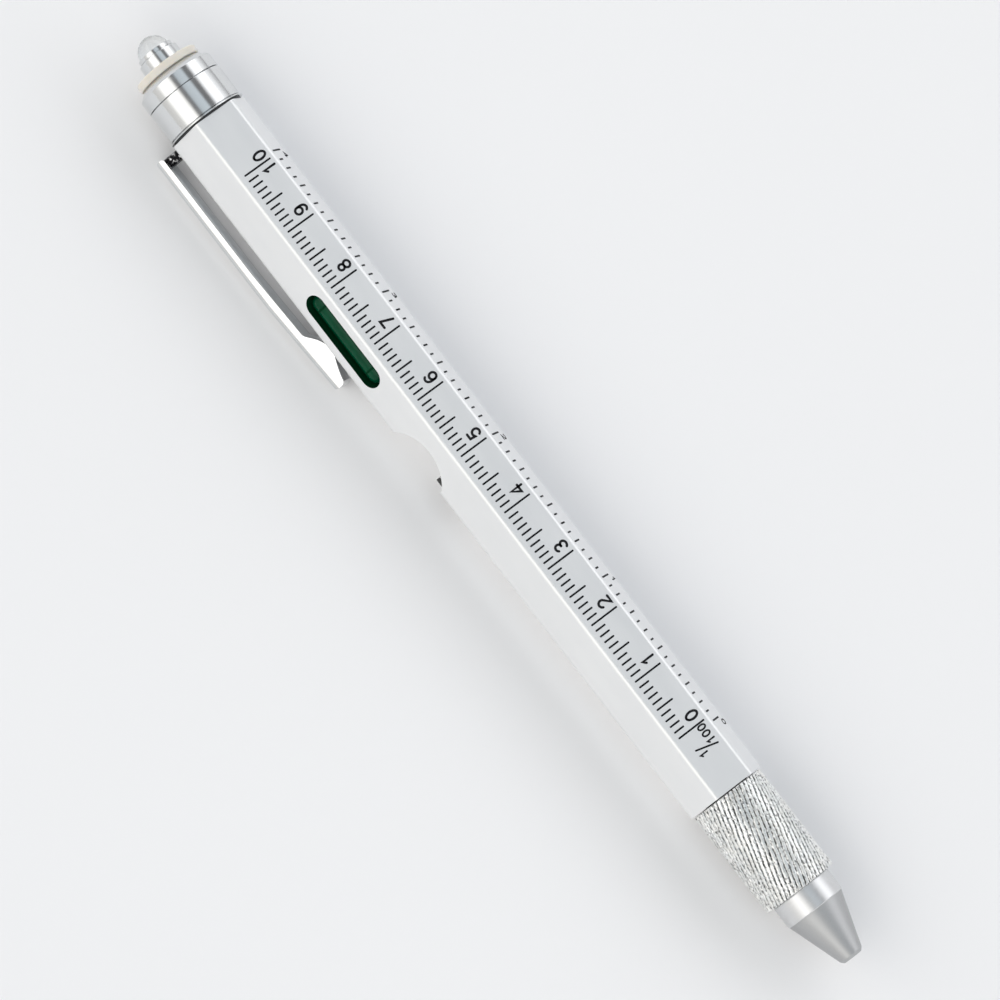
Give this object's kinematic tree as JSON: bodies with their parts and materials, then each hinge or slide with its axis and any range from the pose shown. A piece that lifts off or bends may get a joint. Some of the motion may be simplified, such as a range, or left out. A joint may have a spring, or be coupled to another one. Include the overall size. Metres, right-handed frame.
{
  "type": "multi tool pen",
  "caption": "Hexagonal ruler pen with twist ball point, spirit level, opener notch with steel tongue, spring clip, screw cap and press lamp.",
  "frame": {"origin": "centre line of the barrel's lower flat, level with the zero mark of the rulers", "axes": "+X along the pen to the writing point, +Z out of the ruled upper flat, -Y to the side with the level and the clip"},
  "size_m": [0.1642, 0.0154, 0.0126],
  "materials": {
    "satin_silver": "satin pearl silver",
    "chrome": "polished",
    "bright_knurl": "knurled and bright",
    "steel": "bright steel",
    "brass": "turned",
    "cream_plastic": "translucent, satin",
    "black_plastic": "moulded",
    "clear_plastic": "clear moulded",
    "green_fluid": "tinted fluid",
    "ink": "printed black"
  },
  "bodies": {
    "barrel": {"barrel": "satin_silver", "level_vial": "clear_plastic", "level_plug": "clear_plastic", "level_fluid": "green_fluid", "opener_lip": "steel", "head_collar": "chrome", "nose_bush": "brass", "guide_sleeve": "brass"},
    "clip": {"pocket_clip": "chrome"},
    "battery": {"battery_holder": "black_plastic", "button_cell_1": "steel", "button_cell_2": "steel", "button_cell_3": "steel", "battery_spring": "steel"},
    "cap": {"cap_sleeve": "chrome", "cap_crown": "chrome", "insulating_ring": "cream_plastic", "button_spring": "steel"},
    "lamp": {"lamp_bezel": "chrome", "lamp_lens": "clear_plastic", "lamp_lead_1": "steel", "lamp_lead_2": "steel"},
    "grip": {"grip_sleeve": "bright_knurl", "nose_cone": "satin_silver", "twist_tube": "brass"},
    "refill": {"refill_carrier": "black_plastic", "carrier_pin": "steel", "refill_tube": "brass", "refill_tip": "brass"}
  },
  "joints": [
    {"name": "clip_flex", "type": "hinge", "parent": "barrel", "child": "clip", "pos_m": [-0.1091, -0.00467, 0.00291], "axis": [0, 0.5, -0.866], "range_deg": [0, 5], "stiffness_Nm_per_rad": 1},
    {"name": "battery_rise", "type": "slide", "parent": "barrel", "child": "battery", "axis": [-1, 0, 0], "range_m": [0, 0.003]},
    {"name": "cap_turn", "type": "hinge", "parent": "battery", "child": "cap", "pos_m": [-0.115, 0, 0.0056], "axis": [-1, 0, 0], "range_deg": [0, 1440]},
    {"name": "lamp_press", "type": "slide", "parent": "cap", "child": "lamp", "axis": [1, 0, 0], "range_m": [0, 0.0008], "stiffness_N_per_m": 800, "springref_m": -0.001, "deforming": ["button_spring"]},
    {"name": "grip_twist", "type": "hinge", "parent": "barrel", "child": "grip", "pos_m": [0.0103, 0, 0.0056], "axis": [1, 0, 0], "range_deg": [0, 180]},
    {"name": "refill_extend", "type": "slide", "parent": "barrel", "child": "refill", "axis": [1, 0, 0], "range_m": [0, 0.005]}
  ],
  "couplings": [
    {"joint": "battery_rise", "follows": "cap_turn", "m_per_rad": 0.00011936},
    {"joint": "refill_extend", "follows": "grip_twist", "m_per_rad": 0.0015915}
  ]
}
